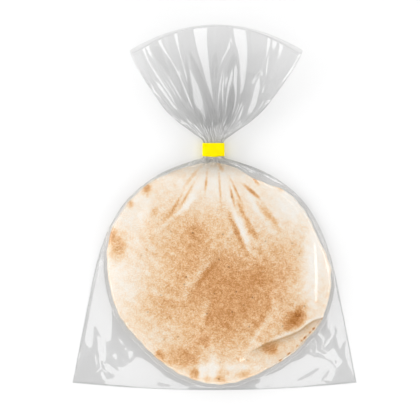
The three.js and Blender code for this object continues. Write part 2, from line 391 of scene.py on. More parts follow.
def breadMaterial():
    # wheat flatbread, oven baked: a dry matt crust, floury cream with fine brown speckle
    material, tree = newMaterial("bakedWheatCrust")
    place = addNode(tree, "TexCoord", {})
    toast = addNode(tree, "Attribute", {}, attribute_name="toast")
    crease = addNode(tree, "Attribute", {}, attribute_name="crease")
    grain = addNode(tree, "TexNoise", {"Vector": (place, "Object"), "Scale": 1 / (crust["grain"] * mm),
                                       "Detail": 1.0, "Roughness": 0.5})
    bran = addNode(tree, "TexVoronoi", {"Vector": (place, "Object"), "Scale": 1 / (crust["bran"] * mm),
                                        "Randomness": 1.0})
    flake = addNode(tree, "SeparateColor", {"Color": (bran, "Color")})
    blotch = addNode(tree, "TexNoise", {"Vector": (place, "Object"), "Scale": 1 / (crust["blotch"] * mm),
                                        "Detail": 3.0, "Roughness": 0.6})
    # each pattern's lows and highs, and how far they push the brown down and up
    patterns = [(grain, 0.3, 0.7, -0.08, 0.08), (blotch, 0.3, 0.7, -0.08, 0.08), (flake, 0, 1, -0.15, 0.22)]
    pushes = [addNode(tree, "MapRange", {"Value": (pattern, 0), "From Min": low, "From Max": high,
                                         "To Min": down, "To Max": up})
              for pattern, low, high, down, up in patterns]
    loud = addNode(tree, "MapRange", {"Value": (toast, "Fac"), "From Min": 0.05, "From Max": 0.45,
                                      "To Min": 0.25, "To Max": 0.7})  # flour hides the grain
    push = addNode(tree, "Math", {0: (pushes[0], 0), 1: (pushes[1], 0)}, operation="ADD")
    push = addNode(tree, "Math", {0: (push, 0), 1: (pushes[2], 0)}, operation="ADD")
    push = addNode(tree, "Math", {0: (push, 0), 1: (loud, 0)}, operation="MULTIPLY")
    # this value carries browning together with painted shade, painted highlights and painted reflections
    browningAndShade = addNode(tree, "Math", {0: (toast, "Fac"), 1: (push, 0)}, operation="ADD")
    ramp = addNode(tree, "ValToRGB", {"Fac": (browningAndShade, 0)})
    fillRamp(ramp, crust["colours"])
    spots = addNode(tree, "TexVoronoi", {"Vector": (place, "Object"), "Scale": 1 / (crust["flecks"] * mm),
                                         "Randomness": 1.0})
    fleck = addNode(tree, "MapRange", {"Value": (spots, "Distance"), "From Min": 0.05, "From Max": 0.12,
                                       "To Min": 1.0, "To Max": 0.0})
    fleckShare = addNode(tree, "MapRange", {"Value": (toast, "Fac"), "From Min": 0.15, "From Max": 0.5,
                                            "To Min": 0.0, "To Max": 0.8})
    fleck = addNode(tree, "Math", {0: (fleck, 0), 1: (fleckShare, 0)}, operation="MULTIPLY")
    colour = addNode(tree, "Mix", {0: (fleck, 0), 6: (ramp, 0), 7: hexColour(crust["fleckColour"])},
                     data_type="RGBA")
    # painted shade under the lip
    shaded = addNode(tree, "Math", {0: (crease, "Fac"), 1: crust["shade"]}, operation="MULTIPLY")
    colour = addNode(tree, "Mix", {0: (shaded, 0), 6: (colour, 2), 7: hexColour(crust["paintedShadeColour"])},
                     data_type="RGBA")
    rough = addNode(tree, "MapRange", {"Value": (browningAndShade, 0), "From Min": 0.0, "From Max": 1.0,
                                       "To Min": 0.92, "To Max": 0.66})  # toasted crust is smoother
    bump = addNode(tree, "Bump", {"Height": (grain, 0), "Strength": 0.35, "Distance": crust["bumps"] * mm})
    shader = addNode(tree, "BsdfPrincipled", {"Base Color": (colour, 2), "Roughness": (rough, 0),
                                              "Normal": (bump, 0), "IOR": 1.45,
                                              "Specular IOR Level": 0.25})
    addNode(tree, "OutputMaterial", {"Surface": (shader, 0)})
    return material


print("making the flatbread")
makeBread(breadMaterial())


# Film: one tube of thin film, sealed along its bottom, drawn together at the neck and open at its mouth

bandHeight = 11.4  # mm, at its sides, as its lower edge dips in the middle
neckGap = 0.9      # how much narrower the neck is on each side than the band
bandTop = tapeHigh[1]
bandBottom = bandTop - bandHeight
neckHalf = (tapeHigh[0] - tapeLow[0]) / 2 - neckGap
neckX = (tapeLow[0] + tapeHigh[0]) / 2
neckZ = (tapeLow[2] + tapeHigh[2]) / 2

film = {
    "columns": {"front": 270, "back": 180}, "bodyRows": 172, "neckRows": 6, "fanRows": 84,
    "fanCrowding": 1.25,  # above 1 the fan's rows lie closer near the band
    "wall": 0.06,      # mm, twice the real film so that it keeps two clear sides
    "gap": 1.3,        # over the bread's rim
    "air": 2.0,        # more over its middle
    "clear": 0.3,      # it comes no closer than this to the bread's top
    "lie": 0.12,       # its back over the table
    "slack": 0.9,      # its front over its back beside the bread
    "seamLift": 0.4,   # its bottom seam over its back
    "follow": 0.45,    # how much of the bread's swells it follows
    "step": (-1.2, 3.0),  # it steps down over the bread's rim between these distances from it
    "seam": 7,         # how fast it closes towards its bottom seam
    "cornerDrop": 200.3, "mouthRise": 81.4,
    "bottomBow": -6.6, "bowFrom": 120, "mouthBow": 22.9,  # how far each end's middle lies past its corners
    "neckDepth": 3.1, "fanZ": 15, "fanEdgeZ": 12.5, "fanDepth": 4.6, "fanLean": 2.4,
    "held": 3,         # mm below the band down to which the front keeps the neck's own shape
    "gathered": 16,    # and down to which it takes after it
    "landsAt": 26,     # and its back lies flat from here on
    "opensAt": 0.3,    # share of the way up the fan where its section is a full lens
    "flares": 0.06, "fineFade": (0.1, 0.5),  # where it leaves the neck's shape, and loses its fine gathers
    "fanSlope": 0.09,  # how steeply the fan's front rises towards its mouth
    "grip": 0.02,      # how little the film between the flanks keeps its own slope, against 1 on a flank
    "reach": 30,       # how far in mm a facet over the body lifts the film round it
    "freeAt": 0.9, "freeWidth": 2.2, "freeShare": 0.97,  # where its step takes up slack, and how freely
    "settling": 400,   # steps of working out the film's height
    "mouthStep": 4.8, "mouthFrom": 0.55,  # the back of the mouth reaches this far past the front
    # ripples all over the front, and near its bottom, between these distances below the band
    "sags": [(0.25, 62, 33, 9)], "lowSags": [(0.2, 34, 31, 9)], "crumple": [(0.06, 12, 32, 9)],
    "lowSagsFrom": (90, 150), "crumpleFrom": (110, 170), "fineTo": (20, 60), "flatSides": (90, 140),
    # half its width at distances from the band, below and above it
    "body": [(0, neckHalf), (1.4, neckHalf + 0.4), (4.2, 18.5), (10.6, 36.7), (17.7, 51.5), (31.8, 70.4),
             (46, 83), (67.2, 94.8), (95.5, 104.5), (131, 112), (200.3, 125.5)],
    "fan": [(0, neckHalf), (1.4, neckHalf + 0.2), (8.4, 17.7), (19, 32.3), (29.7, 43.8), (40.3, 51.8),
            (56.2, 62.9), (72.1, 72.5), (81.4, 76)],
    "edge": [(0, neckZ), (14, 5.0), (40, 3.6), (90, 2.0), (140, 0.4), (200.3, 0.3)],  # height of its sides
}

# flat flanks of the pleats on the front of the fan: how steep each is in degrees (above 0 it rises to the
# right), how soft its borders are in mm, and where it lies as (way up to the mouth, left border, right
# border) in hundredths, the borders from -100 to 100 across the fan
flanks = [
    # left part
    (6.5, 0.5, [(60, -99, -96.5), (75, -99, -95.5), (88, -99, -96.5), (105, -99, -97)]),
    (13, 0.8, [(80, -91, -90), (87, -93.5, -88.5), (94, -95.5, -87.5), (96, -96, -90)]),
    (-15, 0.4, [(28, -83, -81.5), (36, -88.5, -84), (47, -91.5, -87.5), (58, -93.5, -90),
        (71, -93, -92.5)]),
    (15, 0.4, [(24, -94, -90), (34, -97, -92), (42, -99, -94.5), (51, -98.5, -97.5)]),
    (16.5, 0.3, [(36, -76.5, -75.5), (47, -79, -75), (58, -82, -78), (72, -84, -80.5), (85, -85, -82),
        (105, -87, -83.5)]),
    (16.5, 0.3, [(80, -75.5, -75), (84, -78.5, -75.5), (90, -80.5, -77), (105, -83.5, -78.5)]),
    (-15, 0.3, [(36, -66.5, -65.5), (45, -70, -67), (55, -73.5, -69.5), (66, -76, -73.5),
        (74, -77, -76.5)]),
    (16.5, 0.4, [(27, -46, -43), (31, -53, -45.5), (37, -60, -52.5), (45, -65, -60), (55, -68, -64),
        (65, -70.5, -67.5), (75, -73.5, -71), (83, -75, -74.5)]),
    (-16.5, 0.4, [(28, -43, -41.5), (34, -47.5, -44), (42, -51, -46), (50, -52.5, -48),
        (60, -54.5, -51.5), (70, -57, -54), (80, -60.5, -57), (90, -65.5, -61), (105, -71, -65)]),
    (14, 0.6, [(84, -57.5, -57), (93, -60, -56.5), (105, -62, -57.5)]),
    (-14.5, 0.6, [(55, -47, -45.5), (60, -51, -45.5), (66, -53, -49), (76, -53.5, -52.5)]),
    (16, 0.4, [(55, -45.5, -44), (60, -45, -42), (70, -45.5, -43), (80, -46.5, -44), (90, -48, -44.5),
        (105, -51, -45)]),
    # middle
    (16, 1, [(24, -27, -20), (30, -37, -17), (36, -41, -19), (42, -41, -21.5), (48, -39.5, -24.5),
        (55, -39, -28.5), (65, -38.5, -34), (75, -38.5, -38)]),
    (-16.5, 0.3, [(16, -13, -7), (17.5, -20, -13), (20.5, -27, -21.5), (24, -32, -29), (28, -36, -35)]),
    (16, 0.25, [(20, -2, 0), (30, -10, -8), (42, -17.5, -15.5), (55, -25.5, -23.5), (68, -31.5, -30),
        (79, -33.5, -33)]),
    (-16, 0.25, [(20, 3.5, 5), (30, -3, -1.5), (42, -12.5, -10.5), (55, -20.5, -18.5), (68, -27.5, -26),
        (79, -32.5, -31.8)]),
    (16, 0.25, [(20, 6.5, 8), (30, 0, 1.5), (40, -7.5, -6), (50, -15, -13.5), (63, -24, -23)]),
    (-16.5, 0.8, [(34, 0, 1), (40, -5.5, -2), (47, -10, -4), (55, -14.5, -6), (65, -18.5, -8),
        (75, -22, -9), (85, -25, -10), (105, -28.5, -10)]),
    (12, 0.8, [(78, -2, -1), (90, -4, 0), (105, -4.5, 0)]),
    (14, 0.6, [(52, -1.5, -0.5), (56, -3, 1), (62, -3, 1), (72, -2, 0)]),
    # the two lenses right of the middle and the broad flanks over them
    (16.5, 0.25, [(17, 14, 16), (22, 9.5, 11.5), (30, 7, 9), (40, 6, 8.5), (50, 6.2, 10.5),
        (60, 8.5, 11.5), (68, 11, 11.5)]),
    (-16, 0.25, [(25, 20, 21.5), (33, 17, 19), (42, 13.5, 16.5), (50, 11, 15), (60, 11.8, 14),
        (68, 11.7, 12.2)]),
    (16.5, 0.25, [(22, 26.5, 28), (30, 24, 26.5), (40, 21.2, 24.5), (50, 20.5, 25.5), (58, 21.3, 27.5),
        (64, 23, 26.2), (68, 24.8, 25.2)]),
    (-16.5, 0.25, [(15, 47.5, 48.5), (25, 43.5, 45.5), (35, 40.5, 43), (45, 36, 39.5), (52, 31, 36),
        (58, 28.5, 33.5), (64, 26.7, 29.5), (68, 25.3, 25.8)]),
    (-16, 0.4, [(60, 4, 5), (66, 5, 7), (72, 7, 10.5), (78, 10, 15), (84, 14, 18.5), (89, 16, 17)]),
    (16.5, 0.7, [(45, 44, 46), (50, 42, 48.5), (56, 39, 48), (65, 34.5, 45.5), (72, 31.5, 44),
        (80, 27.5, 41.5), (88, 22, 39), (95, 20, 36.5), (105, 17, 33)]),
    # right part
    (-9, 0.6, [(66.5, 47, 58.5), (80, 44.5, 59), (90, 41.5, 60), (105, 37, 58.5)]),
    (13, 0.6, [(65.5, 56, 59.5), (70, 57.5, 59.8), (79, 59.2, 60)]),
    (-16.5, 0.25, [(78, 63.5, 64), (85, 62, 64), (92, 60.5, 63.5), (105, 59, 62.5)]),
    (-16, 0.25, [(62, 74, 75.5), (68, 70.5, 73), (75, 67.5, 70), (82, 65.2, 67.2), (87, 64.8, 65.5)]),
    (16, 0.3, [(90, 67, 69), (94, 65, 71.5), (105, 64, 72)]),
    (16, 0.25, [(68, 73.5, 75), (76, 72.2, 74), (84, 71.2, 73), (90, 70.5, 71.5)]),
    (-14, 0.5, [(62, 76.5, 77.5), (68, 75.8, 80), (78, 74.8, 80), (90, 73.8, 79), (105, 73.5, 78.5)]),
    (-13, 0.6, [(63, 80, 80.5), (68, 80.5, 83), (78, 80.5, 85), (88, 80.5, 84), (95, 81, 82)]),
    (-7, 0.5, [(72, 89, 94), (85, 88.5, 94.5), (105, 87, 95)]),
    (-14.5, 0.25, [(70, 87, 87.5), (85, 86, 87.2), (105, 84.5, 85.8)]),
    (-16, 0.3, [(62, 96, 96.5), (70, 95.5, 97.5), (80, 95.5, 98), (95, 96.5, 98)]),
    (-15, 0.5, [(11, 80, 86), (20, 76.5, 85), (30, 72, 83.5), (40, 68.5, 80), (50, 65.5, 75),
        (58, 63.2, 70), (65, 64.8, 65.5)]),
    (14, 0.6, [(44, 81, 82), (50, 76.5, 82), (56, 73.5, 81.5), (63, 71.5, 73)]),
    (14, 0.6, [(8, 88, 97), (20, 87.5, 96), (30, 86, 95), (40, 85.5, 94), (48, 86.5, 88)]),
    (-15, 0.4, [(7, 68, 78), (15, 63.5, 75), (20, 61.5, 71.5), (28, 58.5, 66), (34, 57, 61.5),
        (39, 56.8, 57.5)]),
    (16, 0.3, [(12, 53, 56), (20, 51, 53.5), (28, 48.5, 51.5), (35, 47, 50.5), (41, 47.5, 48.5)]),
    # close above the band
    (16, 0.25, [(0.8, -82, -66), (5, -84, -69), (10, -85, -71), (14, -80, -75)]),
    (-16, 0.25, [(6, -60, -52), (10, -66, -55), (15, -68, -58), (20, -66, -62)]),
    (16, 0.2, [(0.8, -44, -34), (5, -50, -42), (9, -53, -46), (12, -51, -48)]),
    (-16, 0.2, [(3, -30, -22), (7, -34, -26), (13, -38, -32), (17, -38, -34), (20, -34, -32)]),
    (-16, 0.2, [(0.8, -10, -1), (5, -15, -7), (10, -18, -10), (15, -16, -11)]),
    (16, 0.2, [(0.8, 21, 31), (4, 15, 24), (9, 6, 13), (14, -3, 4), (16, -1, 1)]),
    (-16, 0.2, [(0.8, 42, 52), (4, 36, 44), (9, 23, 29), (13, 13, 17), (17, 7.5, 8.5)]),
    (16, 0.2, [(0.8, 58, 68), (4, 52, 60), (9, 44, 51), (13, 37, 42), (16, 33, 35)]),
    (-16, 0.2, [(0.8, 86, 96), (5, 78, 88), (9, 71, 80), (13, 69, 74)]),
    (15, 0.3, [(2, -97, -90), (5, -95, -89), (9, -93, -89), (12, -92, -90)]),
]
# where the fan's film is folded under itself: how many layers that adds, and where it lies as above
tucks = [
    (1.4, [(17, -6, 10), (30, -12, 3), (45, -21, -11), (60, -30, -20), (72, -33.5, -27),
        (81, -33.5, -32.5)]),
    (1.2, [(18, 20, 50), (30, 17, 47), (45, 16, 42), (60, 17, 36), (72, 19, 30), (79, 23.5, 25)]),
    (2.2, [(12, 36, 46), (20, 33, 45), (30, 28, 42.5), (40, 26, 39), (48, 27, 34.5), (53, 29.5, 31.5)]),
    (2.2, [(14, 20, 40), (20, 15, 26), (27, 11.5, 20), (34, 10, 16.5), (40, 11, 13.5), (42, 12, 12.5)]),
    (0.9, [(10, 45, 62), (30, 45, 60), (50, 48, 62), (62, 47, 60), (65, 47, 60)]),
    (1.3, [(20, -52, -42), (33, -45, -40), (45, -46, -39), (55, -44, -38), (66, -42, -38),
        (76, -40, -38.5)]),
    (1.2, [(65, -69, -68), (74, -73, -65), (85, -75, -65), (93, -76, -68), (97, -77, -76)]),
    (0.7, [(35, -64, -55), (50, -66, -53), (65, -67, -56), (80, -62, -60)]),
    (0.9, [(58, -5, 2), (64, -6, 3.5), (72, -4, 3), (78, -2, 1)]),
    (3.5, [(0, -60, -48), (5, -66, -52), (10, -66, -56), (15, -62, -60)]),
    (3.5, [(0, -25, -12), (5, -26, -17), (12, -31, -22), (20, -30, -28)]),
    (3.5, [(0, 2, 16), (5, 0, 11), (12, -2, 2)]),
    (3.5, [(0, 33, 44), (5, 27, 36), (12, 16, 20)]),
    (3.5, [(0, 70, 84), (5, 62, 74), (12, 55, 62)]),
    (1.5, [(5, -35, 5), (15, -42, -2), (22, -40, -10), (28, -38, -25)]),
]
stripEnd = 0.008  # share of the way up over which a flank or tuck begins or ends
tuckSoft = 0.35   # mm, how soft a tuck's borders are

# pleats of the fan's back: place at the mouth and at the neck from -1 to 1 across, bend between them, width
# and height at the mouth in mm, and how far up they end, where 1 is the mouth
backPleats = [
    (-0.72, -0.60, 0.02, 9, 0.8, 1.2), (-0.30, -0.20, 0.02, 9, 0.9, 1.2), (0.10, 0.20, -0.02, 9, 0.9, 1.2),
    (0.52, 0.50, 0, 8, 0.8, 1.2), (0.84, 0.80, 0, 6, 0.6, 1.2), (-0.56, -0.40, 0, 1.6, 0.3, 1),
]
pleatsBegin = (-0.22, 0.06)  # share of the way up between which they begin
pleatFade = 0.22             # and over which each ends

# facets of the body's film: direction in which each rises in degrees (0 is +X, 90 is +Y), how steep it is in
# degrees, how soft its borders are in mm, and its outline as (x, y) in mm; a later one lies over earlier ones
facets = [
    # beside the bread and in the loose corners
    (0, 14.5, 1.5, [(-102.2, -41.8), (-92.5, -48), (-90.7, -68.3), (-89.8, -81.6), (-88.9, -99.3),
        (-89.8, -117), (-94.3, -118.8), (-98.7, -115.2), (-103.1, -110.8), (-105.8, -106.4),
        (-106.6, -121.4), (-108.4, -125), (-113.7, -122.3), (-116.4, -119.7), (-114.6, -108.1),
        (-111.1, -90.4), (-107.5, -72.7), (-104, -55)]),
    (78, 15.5, 1.2, [(-69.5, -129.4), (-63.3, -132), (-55.3, -138.2), (-48.2, -144.4), (-39.4, -150.6),
        (-26.1, -157.7), (-26.1, -160.8), (-65.9, -159.9), (-96.9, -156.8), (-98.7, -153.3),
        (-90.7, -149.7), (-84.5, -145.3), (-81.9, -140), (-76.6, -137.4), (-72.1, -134.7)]),
    (80, 7, 1, [(-57.1, -136.5), (-51.8, -140), (-42.9, -149.7), (-37.6, -155.9), (-48.2, -153.3),
        (-55.3, -144.4)]),
    (0, 16, 0.5, [(-106.6, -125.8), (-104.9, -126.7), (-103.1, -136.5), (-102.7, -142.7),
        (-104.4, -141.8), (-106.2, -134.7)]),
    (45, 16, 0.6, [(-86.3, -113.5), (-82.7, -114.3), (-78.3, -119.7), (-81, -123.2), (-84.5, -119.7)]),
    (60, 16, 0.6, [(-95.1, -135.6), (-90.7, -139.1), (-85.4, -144.4), (-86.3, -146.2), (-89.8, -148.9),
        (-94.3, -145.3), (-96.5, -137.4)]),
    (20, 15, 0.7, [(-101.3, -143.5), (-97.8, -145.3), (-95.1, -150.6), (-91.6, -154.2), (-98.7, -154.2),
        (-101.3, -148.9)]),
    (50, 14, 0.7, [(-84.5, -130.3), (-79.2, -132.9), (-75.7, -136.5), (-77.4, -138.2), (-82.7, -136.5)]),
    (180, 14.5, 1.5, [(101.3, -41.8), (107.5, -48), (109.3, -78.9), (112.8, -90.4), (116.4, -103.7),
        (118.1, -113.5), (114.6, -118.8), (112, -125.8), (110.2, -126.7), (108.4, -121.4),
        (106.6, -115.2), (108.4, -108.1), (105.8, -105.5), (102.2, -106.4), (98.7, -108.1), (97.8, -99.3),
        (99.6, -90.4), (101.3, -84.3)]),
    (135, 16, 0.5, [(106.6, -110.8), (104.9, -115.2), (100.4, -121.4), (96, -125), (95.1, -124.1),
        (97.8, -118.8), (102.2, -113.5)]),
    (103, 15.5, 1.2, [(45.6, -148), (58, -142.7), (68.6, -134.7), (75.7, -132.9), (82.7, -125.8),
        (88.1, -131.2), (95.1, -131.2), (103.1, -136.5), (100.4, -143.5), (95.1, -152.4), (102.2, -156.4),
        (75.7, -159), (44.7, -160.8)]),
    (103, 6, 0.7, [(71.2, -152.4), (78.3, -148), (91.6, -140.9), (93.4, -142.2), (86.3, -148),
        (76.6, -153.3), (72.1, -153.7)]),
    (103, 9, 0.8, [(69.5, -143.5), (75.7, -140), (88.1, -135.6), (86.3, -138.2), (77.4, -142.7),
        (71.2, -145.3)]),
    (180, 15, 0.7, [(115.9, -134.7), (119, -132.9), (121.2, -128.5), (123.5, -139.1), (119.9, -140),
        (117.3, -138.2)]),
    (120, 15, 0.6, [(83.6, -117.9), (87.2, -115.2), (88.9, -121.4), (87.2, -126.7), (83.6, -124.1)]),
    # over the bread's right rim
    (180, 9.2, 0.6, [(79.2, -30.3), (89.8, -30.3), (91.2, -60), (90.7, -81.6), (88.9, -94.9),
        (85.4, -72.7), (81, -48)]),
    (180, 13.5, 0.3, [(88.2, -32), (90, -33), (91.4, -60), (90.9, -80), (89.4, -92), (89.6, -62)]),
    # out of the neck
    (20, 16, 0.4, [(-10.3, 43), (-7.5, 44.7), (-9.6, 39.6), (-10.6, 38.2), (-15, 38.1), (-18.6, 36.3),
        (-15, 40.1)]),
    (60, 15, 0.5, [(12.2, 38.2), (24.8, 37.2), (29.2, 31.6), (22.6, 32.7), (18.9, 36.4)]),
    (60, 16, 0.4, [(32.6, 31.9), (40.3, 29), (40.3, 25.7), (35.1, 28.3)]),
    # along the shoulders
    (-60, 17, 0.5, [(-15.5, 43.6), (-26.1, 39.2), (-39.4, 33.9), (-52.7, 26.8), (-65.9, 17.1),
        (-65.9, 15.8), (-52.7, 25.1), (-39.4, 31.9), (-26.1, 37.2), (-15.5, 41)]),
    (-120, 17, 0.5, [(20.8, 44.1), (31.4, 39.6), (44.7, 33.5), (58, 24.6), (71.2, 13.1), (69.5, 11.3),
        (57.1, 22.7), (43.8, 31.3), (31.4, 37.2), (20.8, 41.4)]),
]

# low roof-like folds of the film over the bread: how steep both sides are in degrees, how soft the borders
# are in mm, and the ridge as (x, y, half width) in mm
roofs = [
    (10.5, 0.6, [(-14.5, 11.2, 0.4), (-22.7, 1.2, 1.3), (-35, -9.5, 1.7), (-50.9, -22, 0.6)]),
    (10.5, 0.6, [(-10.2, 27.3, 0.3), (-14.6, 15.8, 0.9), (-21.7, 4.2, 1.2), (-27.9, -4.6, 0.5)]),
    (10.5, 0.7, [(-0.9, 31.7, 0.4), (-1.3, 17.5, 1.3), (-1.8, 5.1, 1.5), (-2.2, -5.5, 0.6)]),
    (10.5, 0.6, [(7.5, 29.9, 0.3), (11.5, 15.8, 0.9), (13.7, 5.1, 1.1), (12.8, -3.7, 0.5)]),
    (10.5, 0.3, [(8.4, 23.7, 0.7), (15.5, 6.9, 1.6), (21.7, -10.8, 2.6), (27.9, -26.7, 3.7),
        (31.9, -36.5, 1.4)]),
    (10.5, 0.7, [(25.2, 19.3, 0.4), (33.2, 6.9, 1.2), (42.9, -7.3, 1.9), (51.8, -22.3, 1.2)]),
    (10.5, 0.6, [(-19.9, 33.5, 0.4), (-30.5, 19.3, 1.1), (-41.2, 6.9, 1.3), (-50, -2.8, 0.5)]),
    (16, 0.25, [(15.5, 9, 0.5), (22.1, -8.1, 0.9), (24.4, -13.5, 0.5)]),
    (10, 0.5, [(-10.8, -130, 3.2), (-10.4, -151.5, 3.6)]),
    (10, 0.5, [(-2.0, -131, 3.2), (-1.6, -152.5, 3.6)]),
    (14, 0.5, [(47.3, 19.3, 1.0), (58.9, 10.4, 1.8), (70.4, -0.2, 2.2), (81, -16.1, 1.5)]),
    (16.5, 0.25, [(-5.8, 44.1, 0.7), (-8.4, 39.4, 0.8)]),
    (16.5, 0.25, [(-2.7, 43.6, 0.6), (-5, 39.3, 0.7)]),
    (16.5, 0.25, [(-0.2, 43.2, 0.6), (-1.9, 39.7, 0.7)]),
    (16.5, 0.25, [(5.2, 43.8, 0.7), (9, 39.3, 0.9)]),
    (16.5, 0.25, [(8.3, 43.6, 0.8), (13.5, 38.1, 1.1)]),
    (16.5, 0.25, [(11.8, 43.2, 0.7), (16.9, 38.2, 1.1)]),
]

# where the body's film is folded under itself: how many layers that adds, how soft the borders are in mm, and
# the line of the fold as (x, y, half width) in mm
creases = [
    (4, 0.25, [(-5.6, 43.6, 0.5), (-9.4, 38.7, 0.9)]), (4, 0.25, [(-3.4, 43.4, 0.4), (-5.9, 39.2, 0.7)]),
    (4, 0.25, [(-1.2, 43.2, 0.4), (-2.0, 40.0, 0.5)]), (4, 0.3, [(-0.6, 44.3, 0.9), (4.6, 41.4, 1.2)]),
    (4, 0.3, [(6.6, 42.6, 0.5), (12.4, 38.8, 0.7)]), (2.5, 0.5, [(17.3, 41.4, 0.9), (42, 29.6, 1.6)]),
    (2.0, 0.5, [(-12.8, 40.8, 0.9), (-41.2, 31.4, 1.5)]),
]


def filmRows():
    # one row of the film per entry: how far it is below the band, above it, and up inside it
    share = np.linspace(1, 0, film["bodyRows"] + 1)
    share = 0.5 * share + 0.5 * (1 - np.cos(math.pi * share)) / 2  # close at both ends
    below = np.concatenate([film["cornerDrop"] * share, np.zeros(film["neckRows"] + film["fanRows"])])
    risen = np.linspace(0, 1, film["fanRows"] + 1)[1:] ** film["fanCrowding"]
    above = np.concatenate([np.zeros(film["bodyRows"] + 1 + film["neckRows"]), film["mouthRise"] * risen])
    inside = np.concatenate([np.zeros(film["bodyRows"] + 1), np.linspace(0, 1, film["neckRows"] + 1)[1:],
                             np.ones(film["fanRows"])])
    return below[:, None], above[:, None], inside[:, None]


def strip(stations, across, rise, half, soft):
    # 1 between a left and a right border that run through the stations, 0 outside them: half the difference
    # of two tanh steps across the film; and where its middle is from -1 to 1 across
    place, left, right = np.array(stations).T / 100
    low, high = (along(np.stack([place, border], -1), rise) for border in (left, right))
    steps = np.tanh((across - low) * half / soft) - np.tanh((across - high) * half / soft)
    begins, ends = (ease(rise, end - stripEnd, end + stripEnd) for end in (place[0], place[-1]))
    return np.maximum(steps, 0) / 2 * begins * (1 - ends), (low + high) / 2


def settle(x, y, base, wantX, wantY, cover, held, grip, anchor):
    # the height whose steps between neighbours come closest, in weighted squares, to the wanted slope where a
    # flank covers the film and to the base's own steps elsewhere, and, with the anchor's weight, to the base
    # itself; held points stay at their base. Conjugate gradients, scaled by the diagonal
    steps = []
    for axis in (0, 1):
        runX, runY, rise = (np.diff(values, axis=axis) for values in (x, y, base))
        share, slopeX, slopeY, hold = (
            (values[1:] + values[:-1]) / 2 if axis == 0 else (values[:, 1:] + values[:, :-1]) / 2
            for values in (cover, wantX, wantY, grip))
        steps.append(((hold + share) / (runX ** 2 + runY ** 2),
                      (1 - share) * rise + share * (slopeX * runX + slopeY * runY)))
    (downPull, downRise), (rightPull, rightRise) = steps

    def gathered(down, right):
        total = np.zeros(base.shape)
        total[1:] += down
        total[:-1] -= down
        total[:, 1:] += right
        total[:, :-1] -= right
        return np.where(held, 0, total)

    def pulled(height):
        links = gathered(downPull * np.diff(height, axis=0), rightPull * np.diff(height, axis=1))
        return links + np.where(held, 0, anchor * height)

    diagonal = np.full(base.shape, float(anchor))
    diagonal[1:] += downPull
    diagonal[:-1] += downPull
    diagonal[:, 1:] += rightPull
    diagonal[:, :-1] += rightPull
    height = base.copy()
    left = gathered(downPull * downRise, rightPull * rightRise)
    left = left + np.where(held, 0, anchor * base) - pulled(height)
    scaled = left / diagonal
    way = scaled.copy()
    size = (left * scaled).sum()
    for _ in range(film["settling"]):
        pull = pulled(way)
        far = size / (way * pull).sum()
        height += far * way
        left -= far * pull
        scaled = left / diagonal
        size, before = (left * scaled).sum(), size
        way = scaled + size / before * way
    return height


def flankHeight(x, y, across, rise, half, base):
    # on a flank the wanted slope is as steep as asked and runs across the flank's middle line, but for the
    # fan's own slope along that line
    cover, wantX, wantY = np.zeros((3,) + across.shape)
    up = film["mouthRise"] * rise + film["mouthBow"] * rise ** 1.5
    for degrees, soft, stations in flanks:
        inside, middle = strip(stations, across, rise, half, soft)
        turn = -np.arctan(np.gradient((middle * half)[:, 0], up[:, 0]))[:, None]
        c, s = np.cos(turn), np.sin(turn)
        own = film["fanSlope"] * c
        steep = math.copysign(1, degrees) * np.sqrt(math.tan(math.radians(degrees)) ** 2 - own ** 2)
        cover += inside
        wantX += inside * (steep * c - own * s)
        wantY += inside * (steep * s + own * c)
    most = np.maximum(cover, 0.001)
    held = (np.abs(across) == 1) | (rise <= rise[0])
    grip = np.full(x.shape, film["grip"])
    return settle(x, y, base, wantX / most, wantY / most, np.clip(cover, 0, 1), held, grip, 0)


def fineGathers(across, half, seed):
    # three sets of narrow sine waves across the film, which die out as it spreads past 26 mm
    spread = 26
    a, b, c = np.random.default_rng(seed).uniform(0, 2 * math.pi, 3)
    uneven = across + 0.05 * np.sin(4.3 * across + a) + 0.03 * np.sin(9.1 * across + b)
    waves = 0.55 * np.sin(2 * math.pi * 6.5 * uneven + b) + 0.36 * np.sin(2 * math.pi * 11 * uneven + c)
    waves = waves + 0.2 * np.sin(2 * math.pi * 19 * uneven + a) * bell(half, spread)
    return 0.01 * half * waves / (1 + (half / spread) ** 3)


def pleatHeight(across, rise, half):
    # each pleat of the back is a bell across its line, which runs from its place at the neck to that at the
    # mouth, and is narrower and lower where the fan is narrower
    spread = half / film["fan"][-1][1]
    height = np.zeros(across.shape)
    for atMouth, atNeck, bend, width, high, end in backPleats:
        line = mix(atNeck, atMouth, rise) + bend * 4 * rise * (1 - rise)
        wide = np.maximum(width * spread ** 0.9, 0.5)
        window = ease(rise, *pleatsBegin) * (1 - ease(rise, end - pleatFade, end))
        height += high * spread ** 0.5 * window * bell((across - line) * half, wide)
    return height


def insideOutline(x, y, outline, soft):
    # (1 + tanh(d / soft)) / 2, where d is the distance to the outline, above 0 inside it; a point is inside
    # when a line from it towards +X crosses the outline an odd number of times
    nearest, odd = np.full(x.shape, 1e9), np.zeros(x.shape, bool)
    for (x0, y0), (x1, y1) in zip(outline, outline[1:] + outline[:1]):
        dx, dy = x1 - x0, y1 - y0
        t = np.clip(((x - x0) * dx + (y - y0) * dy) / (dx * dx + dy * dy), 0, 1)
        nearest = np.minimum(nearest, np.hypot(x - x0 - t * dx, y - y0 - t * dy))
        odd ^= ((y0 > y) != (y1 > y)) & (x < x0 + dx * (y - y0) / (dy if dy else 1))
    return (1 + np.tanh(np.where(odd, nearest, -nearest) / soft)) / 2


